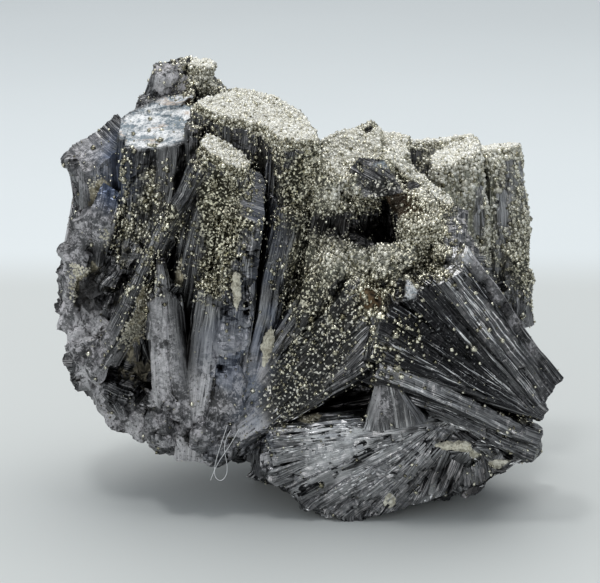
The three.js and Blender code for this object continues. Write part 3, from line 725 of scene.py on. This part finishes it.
def set_vertex_amount(mesh, name, amounts):
    layer = mesh.attributes.new(name, "FLOAT", "POINT")
    layer.data.foreach_set("value", amounts.astype(np.float32))


def keep_side(bm, at, side):
    """Cuts a closed mesh by an upright plane, keeps what lies on one side, and closes it again."""
    everything = bm.verts[:] + bm.edges[:] + bm.faces[:]
    bmesh.ops.bisect_plane(bm, geom=everything, dist=1e-8, plane_co=(at, 0, 0), plane_no=(side, 0, 0),
                           clear_inner=True)
    bmesh.ops.holes_fill(bm, edges=[edge for edge in bm.edges if edge.is_boundary], sides=0)
    bmesh.ops.triangulate(bm, faces=[face for face in bm.faces if len(face.verts) > 3])


def enargite_piece(number, start, end, finish):
    """One slice of the cluster. Several slices keep each mesh small enough to store whole."""
    bm = enargite_bm.copy()
    if start is not None:
        keep_side(bm, start, 1)
    if end is not None:
        keep_side(bm, end, -1)
    made = mesh_object(f"enargite_cluster_{number}", bm, finish)
    places = corners_of(made.data)
    for name, zones in FINISHES.items():
        set_vertex_amount(made.data, name, np.clip(amount_near(places, zones), 0, 1))
    set_vertex_amount(made.data, "coated", np.clip(amount_near(places, SPRINKLED) / 16, 0, 1) * bare_share(places))
    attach(made, "root")
    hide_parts("enargite_crystals")
    return made


whole = bpy.data.meshes.new("whole enargite")
enargite_bm.to_mesh(whole)
enargite_finish = enargite_material()
bounds = [None, *CUT_PLACES, None]
enargite = [enargite_piece(number, start, end, enargite_finish)
            for number, (start, end) in enumerate(zip(bounds, bounds[1:]), 1)]
print("enargite pieces:", {piece.name: len(piece.data.polygons) for piece in enargite})

# %% [markdown]
# ## Pyrite crusts
# The pyrite is a druse: thousands of tiny crystals, side by side. Under them each crust gets a rough bed of
# its own, from a copy of its solid that is let down onto the crystal, cut fine and rounded. The bed shows
# only in the gaps between the grains. On the flat tops the druse is fine, and painted pale and matt there as
# light from above; down the sides it is coarser, brassy and dark between the grains.

# %% Crust beds
CRUSTS = sorted(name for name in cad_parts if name.startswith("pyrite_crust"))
BED_DROP = 0.5 * MM
BED_ROUGH = 0.15 * MM
BED_CELL = 0.5 * MM
BED_CELLS = 6500  # painted grains in a metre


def bed_material():
    """Grains too small to make one by one: cells of random brightness, each with its own tilt."""
    net = Net("pyrite bed")
    where = net.place()
    pale = net.attribute("pale")
    chance, hollow = net.chance(where, BED_CELLS), net.cells(where, BED_CELLS)
    brassy = net.mix(chance.between(0.25, 0.95), (0.07, 0.065, 0.045), (0.95, 0.90, 0.70))
    light = net.mix(chance.between(0.05, 0.5), (0.72, 0.70, 0.64), (1.0, 0.99, 0.94))
    rusted, painted_shade = net.attribute("rusted"), net.attribute("painted_shade")
    # Painted light and shade: the pale coat lights the flat tops, and the near black darkens the shade zones.
    colour = net.coats(brassy, [(pale, light), (rusted * 0.8, (0.09, 0.05, 0.025)), (painted_shade, SHADE_BLACK)])
    return net.finish(Base_Color=colour, Roughness=0.36, Metallic=1 - 0.9 * pale, Normal=net.bump(hollow, 0.15 * MM))


def grain_material():
    net = Net("pyrite")
    tint, pale = net.attribute("tint"), net.attribute("pale")
    cloud = net.noise(net.place(), 2500, 2)
    brassy = net.mix(tint, (0.20, 0.185, 0.125), (1.0, 0.97, 0.81))
    light = net.mix(tint, (0.80, 0.78, 0.68), (1.0, 1.0, 0.96))
    # Painted light: pale and less metallic where the druse faces up, as if lit from above.
    colour = net.mix(pale, brassy, light)
    return net.finish(Base_Color=colour, Roughness=0.10 + 0.3 * cloud, Metallic=1 - 0.85 * pale)


bed_finish = bed_material()
grain_finish = grain_material()


DARK_TOPS = [
    (13.5, -10, 36.5, 3, 4, 2.6, 0.9), (8, -12.3, 32, 7, 3, 2, 0.35), (12, -9, 38, 2, 3, 2, 0.5),
]


def flatness(normals):
    """1 where a surface is nearly level, 0 where it is steep."""
    return np.clip((normals[:, 2] - 0.35) / 0.4, 0, 1)


def pale_share(places, normals):
    """How much painted top light the druse gets, pale and matt: all of it on flat tops, none down the sides."""
    return flatness(normals) * np.clip(1 - amount_near(places, DARK_TOPS), 0, 1)


def cut_fine(bm, cell):
    """Cuts a mesh into triangles no longer than a cell, and rounds it."""
    bmesh.ops.triangulate(bm, faces=bm.faces)
    for _ in range(5):
        long_edges = [edge for edge in bm.edges if edge.calc_length() > cell]
        if not long_edges:
            break
        bmesh.ops.subdivide_edges(bm, edges=long_edges, cuts=1)
        bmesh.ops.triangulate(bm, faces=bm.faces)
    for _ in range(2):
        bmesh.ops.smooth_vert(bm, verts=bm.verts, factor=0.5, use_axis_x=True, use_axis_y=True, use_axis_z=True)


def crust_bed(node):
    bm = welded_copy(node)
    top = sum((face.normal * face.calc_area() for face in bm.faces if face.normal.z > 0.2), Vector()).normalized()
    under = {vert for face in bm.faces if face.normal.dot(top) < -0.6 for vert in face.verts}
    for vert in under:
        vert.co -= top * BED_DROP
    cut_fine(bm, BED_CELL)
    bm.normal_update()
    for vert in bm.verts:
        place = vert.co / MM
        steep = 1 - max(vert.normal.z, 0) ** 2
        rise = BED_ROUGH * (noise.noise(place * 1.1) * (0.7 + 1.6 * steep) + noise.noise(place * 3.1))
        vert.co = bent((vert.co + vert.normal * rise) / MM) * MM
    bm.normal_update()
    shading = [vert.normal[:] for vert in bm.verts]
    bed = mesh_object(node.replace("crust", "bed"), bm, bed_finish)
    places = corners_of(bed.data)
    set_vertex_amount(bed.data, "pale", pale_share(places, np.array(shading)))
    set_vertex_amount(bed.data, "rusted", np.clip(amount_near(places, RUSTED), 0, 1))
    set_vertex_amount(bed.data, "painted_shade", np.clip(amount_near(places, PAINTED_SHADE), 0, 0.95))
    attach(bed, "root")
    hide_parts(node)
    return bed


beds = [crust_bed(node) for node in CRUSTS]
print("crust beds:", {bed.name: len(bed.data.polygons) for bed in beds})

# %% [markdown]
# ## Small things by the thousand
# Grains, splinters and crumbs are each one small shape, repeated hundreds or thousands of times. A map over
# the surface gives how many each square millimetre gets, random points are drawn from it, and arrays join the
# copies into one mesh, which is far quicker than an operator for every copy.

# %% Surfaces to grow on
def surface_of(mesh, density):
    """The triangles of a mesh as arrays in millimetres, and how many points each one gets."""
    mesh.calc_loop_triangles()
    count = len(mesh.loop_triangles)
    corner, polygon = np.empty(count * 3, dtype=np.int32), np.empty(count, dtype=np.int32)
    mesh.loop_triangles.foreach_get("vertices", corner)
    mesh.loop_triangles.foreach_get("polygon_index", polygon)
    places = corners_of(mesh)[corner.reshape(-1, 3)]
    span = np.cross(places[:, 1] - places[:, 0], places[:, 2] - places[:, 0])
    twice = np.linalg.norm(span, axis=1)
    normals = span / np.maximum(twice, 1e-12)[:, None]
    wanted = density(places.mean(axis=1), normals) * twice / 2
    runs = np.zeros(len(mesh.polygons) * 3)
    if "run" in mesh.attributes:
        mesh.attributes["run"].data.foreach_get("vector", runs)
    return places, normals, wanted, runs.reshape(-1, 3)[polygon]


def grow_points(surface):
    """Random points on the triangles, as many as each wants, with the normal and the run of striae there."""
    places, normals, wanted, runs = surface
    counts = rng.poisson(np.maximum(wanted, 0))
    which = np.repeat(np.arange(len(counts)), counts)
    a, b = rng.random((2, len(which), 1))
    flip = a + b > 1
    a, b = np.where(flip, 1 - a, a), np.where(flip, 1 - b, b)
    first, second, third = (places[which, corner] for corner in range(3))
    return first + a * (second - first) + b * (third - first), normals[which], runs[which]


crust_points = np.concatenate([corners_of(bed.data) for bed in beds])
crust_tree = KDTree(len(crust_points))
for index, point in enumerate(crust_points):
    crust_tree.insert(point, index)
crust_tree.balance()


def crust_distance(places):
    return np.array([crust_tree.find(place)[2] for place in places])


def noise_at(places, scale, seed=0.0):
    offset = Vector((seed, seed * 1.7, -seed))
    return np.array([noise.noise(Vector(place) * scale + offset) for place in places])


def crust_density(places, normals):
    return (24 + 36 * flatness(normals) + 12 * noise_at(places, 0.7)) * bare_share(places)


def crystal_density(places, normals):
    away = crust_distance(places)
    upright = places * (1, 1, 0.4)
    clumps = np.clip(0.8 + 2.4 * noise_at(upright, 0.55, 4) + 2.8 * noise_at(upright, 1.4, 8), 0.03, 3)
    near = 18 * np.exp(-(away / 1.4) ** 2) + 2.0 * np.exp(-away / 3.0)
    upward = 0.7 + 0.9 * np.clip(normals[:, 2], 0, 1)
    return bare_share(places) * (clumps * (near + amount_near(places, SPRINKLED)) * upward + 0.15)


print("surfaces ready")

# %% Small shapes
def small_shape(operator, **options):
    """The corner points and triangles of a small shape, to be repeated."""
    bm = bmesh.new()
    operator(bm, **options)
    bmesh.ops.triangulate(bm, faces=bm.faces)
    bm.verts.index_update()
    corners = np.array([vert.co[:] for vert in bm.verts])
    faces = np.array([[vert.index for vert in face.verts] for face in bm.faces])
    bm.free()
    return corners, faces


CUBE = small_shape(bmesh.ops.create_cube, size=1)
TIP = small_shape(bmesh.ops.create_cone, cap_ends=True, segments=4, radius1=0.72, radius2=0, depth=1)
SHARD = small_shape(bmesh.ops.create_cone, cap_ends=True, segments=4, radius1=0.72, radius2=0.3, depth=1)
print("triangles in a cube, a tip and a shard:", len(CUBE[1]), len(TIP[1]), len(SHARD[1]))


def random_turns(count):
    """Rotation matrices spread evenly over all turns."""
    quaternions = rng.normal(size=(count, 4))
    w, x, y, z = (quaternions / np.linalg.norm(quaternions, axis=1)[:, None]).T
    rows = [1 - 2 * (y * y + z * z), 2 * (x * y - w * z), 2 * (x * z + w * y),
            2 * (x * y + w * z), 1 - 2 * (x * x + z * z), 2 * (y * z - w * x),
            2 * (x * z - w * y), 2 * (y * z + w * x), 1 - 2 * (x * x + y * y)]
    return np.stack(rows, axis=1).reshape(-1, 3, 3)


def turns_along(runs, normals, wander):
    """Rotation matrices that lay a shape's Z along the striae and its X out of the surface."""
    runs = runs * rng.choice([-1, 1], size=(len(runs), 1)) + rng.normal(0, wander, runs.shape)
    runs /= np.maximum(np.linalg.norm(runs, axis=1), 1e-9)[:, None]
    sideways = np.cross(runs, normals)
    sideways /= np.maximum(np.linalg.norm(sideways, axis=1), 1e-9)[:, None]
    return np.stack([np.cross(sideways, runs), sideways, runs], axis=2)


def joined_piece(name, shape, points, turns, sizes, finish, amounts):
    """One mesh of many copies of a shape. sizes has three columns, in millimetres."""
    corners, faces = shape
    count = len(points)
    placed = np.einsum("nij,nkj->nki", turns, corners[None] * sizes[:, None]) + points[:, None]
    placed = placed.reshape(-1, 3) * MM
    placed[:, 2] = np.maximum(placed[:, 2], 0)
    loops = (faces[None] + np.arange(count)[:, None, None] * len(corners)).reshape(-1)
    mesh = bpy.data.meshes.new(name)
    mesh.vertices.add(len(placed))
    mesh.vertices.foreach_set("co", placed.ravel())
    mesh.loops.add(len(loops))
    mesh.loops.foreach_set("vertex_index", loops)
    mesh.polygons.add(len(loops) // 3)
    mesh.polygons.foreach_set("loop_start", np.arange(0, len(loops), 3))
    mesh.update(calc_edges=True)
    for kind, amount in amounts.items():
        set_vertex_amount(mesh, kind, np.repeat(amount, len(corners)))
    mesh.materials.append(finish)
    piece = linked(name, mesh)
    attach(piece, "root")


# %% Grow the grains
MOST_TRIANGLES = 190000
COARSE = 0.22
STANDS_OUT = 0.2  # how far a grain's middle stands out, as a share of its size
PALE_CHANCE = 0.84
COARSE_ZONES = [
    (-18.8, -5.3, 36, 4, 5, 8, 0.6), (15.5, -16.7, 22, 9, 5, 8, 0.5), (22, 8, 34, 8, 8, 9, 0.4),
    (0, 16, 25, 30, 8, 25, 0.3), (7.8, -14.3, 27.5, 3, 3, 3, 0.4),
]


def grain_sizes(points, middle, spread):
    coarser = 1 + np.clip(amount_near(points, COARSE_ZONES), 0, 1)
    return np.clip(middle * coarser * np.exp(rng.normal(0, spread, len(points))), 0.08, 0.6)


def split_among_pieces(name, shape, chosen):
    """Grains of one shape, from left to right, in pieces of a limited size."""
    chosen = chosen[np.argsort(points[chosen, 0])]
    most = MOST_TRIANGLES // len(shape[1])
    for part, start in enumerate(range(0, len(chosen), most)):
        some = chosen[start:start + most]
        places = points[some] + normals[some] * sizes[some, None] * STANDS_OUT
        three_ways = sizes[some, None] * rng.uniform(0.75, 1.3, size=(len(some), 3))
        amounts = {"tint": tints[some], "pale": pales[some]}
        turns = random_turns(len(some))
        joined_piece(f"{name}_{part + 1}", shape, places, turns, three_ways, grain_finish, amounts)


grown = [grow_points(surface_of(bed.data, crust_density)) for bed in beds]
on_crusts = sum(len(found[0]) for found in grown)
grown.append(grow_points(surface_of(whole, crystal_density)))
points, normals = (np.concatenate([found[column] for found in grown]) for column in (0, 1))
flat_tops = pale_share(points, normals)
sizes = np.concatenate([grain_sizes(points[:on_crusts], 0.195, 0.3) * (1 - 0.25 * flat_tops[:on_crusts]),
                        grain_sizes(points[on_crusts:], 0.165, 0.36)])
tints = rng.random(len(points)) ** 1.25
# Painted top light: grains on flat tops and on crystals near the crusts are paled, and so are the hazy zones.
faded = flat_tops * 0.5 * np.exp(-crust_distance(points) / 1.5)
pales = np.where(np.arange(len(points)) < on_crusts, flat_tops, faded)
pales = np.clip(pales + amount_near(points, HAZY), 0, 1) * (rng.random(len(points)) < PALE_CHANCE)
split_among_pieces("pyrite_cubes", CUBE, np.flatnonzero(sizes >= COARSE))
split_among_pieces("pyrite_tips", TIP, np.flatnonzero(sizes < COARSE))
print("grains on crusts:", on_crusts, "on crystals:", len(points) - on_crusts)

# %% [markdown]
# ## Splinters and crumbs
# Enargite breaks into needles along its striae. Where the specimen is broken, hundreds of thin shards lie
# along the crystals, half sunk, and each catches the light its own way. In the gaps of the old, weathered
# side lie crumbs of the cream mineral.

# %% Shard and crumb materials
def shard_material():
    net = Net("enargite shards")
    tint, worn = net.attribute("tint"), net.attribute("worn")
    cloud = net.noise(net.place(), 1400, 3)
    fresh = net.mix(tint.between(0.2, 0.9), (0.035, 0.035, 0.038), (0.95, 0.95, 0.96))
    dull = net.mix(tint * cloud, (0.14, 0.14, 0.15), (0.66, 0.66, 0.68))
    return net.finish(Base_Color=net.mix(worn, fresh, dull), Roughness=0.22 + 0.3 * cloud, Metallic=1 - 0.85 * worn)


def crumb_material():
    net = Net("pale mineral")
    where = net.place()
    cloud = net.noise(where, 900, 4, 0.65)
    stain = net.noise(where, 2200, 3, 0.7)
    colour = net.coats((0.28, 0.25, 0.17), [
        (cloud.between(0.35, 0.60), (0.76, 0.73, 0.60)),
        (net.attribute("tint") * 0.45, (0.85, 0.83, 0.74)),
        (stain.between(0.56, 0.68) * 0.8, (0.16, 0.14, 0.10)),
    ])
    return net.finish(Base_Color=colour, Roughness=0.75, Normal=net.bump(cloud, 0.12 * MM))


shard_finish, crumb_finish = shard_material(), crumb_material()

# %% Shards along the crystals
SHARDY = [
    (4, -14, 7, 8, 5, 6, 3.0), (14, -14, 7, 8, 5, 5, 2.5), (20, -13, 6, 7, 6, 5, 1.5),
    (2.7, -14, 11.9, 5.5, 3, 1.8, 3), (-9, -13, 14, 4, 4, 8, 0.8), (-20, -8, 12, 7, 6, 6, 0.6),
]
LOOSE_GAP = 0.12
SUNK = 0.02
LOOSE_LENGTH = 0.3  # share of its length that a loose shard keeps


def shard_density(places, normals):
    clumps = np.clip(0.8 + 1.8 * noise_at(places, 0.45, 3), 0.1, 2)
    hidden = np.clip(amount_near(places, PAINTED_SHADE + FILLED + CREAMY), 0, 1)
    return clumps * np.clip(0.6 * amount_near(places, SHARDY) - 0.2, 0, 9) * (places[:, 2] > 0.3) * (1 - hidden)


def loose_ends(places, directions, lengths):
    """True for each shard that has an end clear of the surface."""
    tips = [places + side * directions * lengths[:, None] / 2 for side in (-1, 1)]
    gaps = [[enargite_tree.find_nearest(Vector(tip) * MM)[3] / MM for tip in ends] for ends in tips]
    return np.max(gaps, axis=0) > LOOSE_GAP


found, facing, runs = grow_points(surface_of(whole, shard_density))
broken = np.clip(amount_near(found, BROKEN), 0, 1)
lengths = rng.uniform(0.9, 3.4, len(found))
widths = rng.uniform(0.07, 0.24, len(found))
three_ways = np.stack([widths * rng.uniform(0.5, 1.2, len(found)), widths * 1.3, lengths], axis=1)
turns = turns_along(runs, facing, 0.02 + 0.02 * broken[:, None])
lengths *= np.where(loose_ends(found, turns[:, :, 2], lengths), LOOSE_LENGTH, 1)
three_ways[:, 2] = lengths
worn = np.clip(amount_near(found, WEATHERED) * 1.1, 0, 1)
tints = 0.45 * rng.random(len(found)) + 1.5 * noise_at(found, 0.3, 6) + 0.2
tints = np.clip(tints + 0.2 * np.clip(amount_near(found, FLAKY_GLINT), 0, 1), 0, 1)
joined_piece("enargite_shards_1", SHARD, found - facing * SUNK, turns, three_ways,
             shard_finish, {"tint": tints, "worn": worn})
print("shards:", len(found))

# %% Crumbs in the gaps
def crumb_density(places, normals):
    return 30 * np.clip(amount_near(places, FILLED) - 0.5 - 0.6 * amount_near(places, PAINTED_SHADE), 0, 1)


found = grow_points(surface_of(whole, crumb_density))[0]
big = rng.uniform(0.06, 0.26, (len(found), 1))
turns = random_turns(len(found))
three_ways = big * rng.uniform(0.7, 1.3, (len(found), 3))
joined_piece("pale_crumbs", CUBE, found, turns, three_ways, crumb_finish,
             {"tint": rng.random(len(found))})
print("crumbs:", len(found))

# %% [markdown]
# ## Pale mineral and lint
# A few grains of a cream mineral are wedged between the crystals. Each starts from its solid, is cut fine,
# and is roughened until it looks crumbly. Two threads of lint hang on the foot of the column: thin tubes
# along a smooth curve.

# %% Pale grains
PALE_CELL = 0.3 * MM
SLIVER = 0.45


def pale_grain(node):
    bm = welded_copy(node)
    cut_fine(bm, PALE_CELL)
    places = np.array([vert.co[:] for vert in bm.verts]) / MM
    middle = places.mean(axis=0)
    sideways = np.linalg.svd(places - middle, full_matrices=False)[2][1]
    places -= np.outer((places - middle) @ sideways, sideways) * (1 - SLIVER)
    for vert, place in zip(bm.verts, places):
        vert.co = Vector(place) * MM
    bm.normal_update()
    for vert in bm.verts:
        place = vert.co / MM
        rise = 0.4 * noise.noise(place * 1.1) + 0.3 * noise.noise(place * 2.9) + 0.4 * chipped(place, 0.8)
        place += vert.normal * rise
        vert.co = bent(place) * MM
    grain = mesh_object(node + "_rough", bm, crumb_finish)
    set_vertex_amount(grain.data, "tint", np.full(len(grain.data.vertices), 0.5))
    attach(grain, "root")
    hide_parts(node)
    return grain


pale_grains = [pale_grain(node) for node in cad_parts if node.startswith("pale_grain")]
print("pale grains:", [grain.name for grain in pale_grains])

# %% Lint
LINT_RADIUS = 0.035
# Each thread: the places in millimetres that it passes.
THREADS = [[(-9.0, -14.2, 12.0), (-9.7, -14.6, 9.8), (-10.6, -15.0, 7.4), (-10.6, -15.4, 5.6), (-9.6, -15.5, 5.2),
            (-8.9, -15.2, 6.4), (-9.2, -14.9, 8.2), (-9.6, -14.6, 9.8), (-8.6, -14.4, 11.4)],
           [(-7.6, -14.4, 11.6), (-8.4, -14.7, 10.0), (-9.6, -15.0, 8.4), (-10.5, -15.5, 7.0), (-11, -15.8, 5.6)]]


def lint_material():
    net = Net("lint")
    shade = net.noise(net.place(), 900, 2)
    return net.finish(Base_Color=net.mix(shade, (0.62, 0.64, 0.66), (0.92, 0.93, 0.94)), Roughness=0.7)


def thread(name, places, finish):
    curve = bpy.data.curves.new(name, "CURVE")
    curve.dimensions = "3D"
    curve.bevel_depth = LINT_RADIUS * MM
    curve.bevel_resolution = 1
    curve.resolution_u = 8
    curve.use_fill_caps = True
    spline = curve.splines.new("NURBS")
    spline.points.add(len(places) - 1)
    for point, place in zip(spline.points, places):
        point.co = (*(value * MM for value in place), 1)
    spline.order_u = 4
    spline.use_endpoint_u = True
    drawn = bpy.data.objects.new(name + "_path", curve)
    mesh = bpy.data.meshes.new_from_object(drawn)
    mesh.name = name
    bpy.data.objects.remove(drawn)
    mesh.materials.clear()
    mesh.materials.append(finish)
    made = linked(name, mesh)
    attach(made, "root")
    return made


lint_finish = lint_material()
lint = [thread(f"lint_{number + 1}", places, lint_finish) for number, places in enumerate(THREADS)]
print("lint faces:", [len(made.data.polygons) for made in lint])

# %% Finish
bpy.data.meshes.remove(whole)
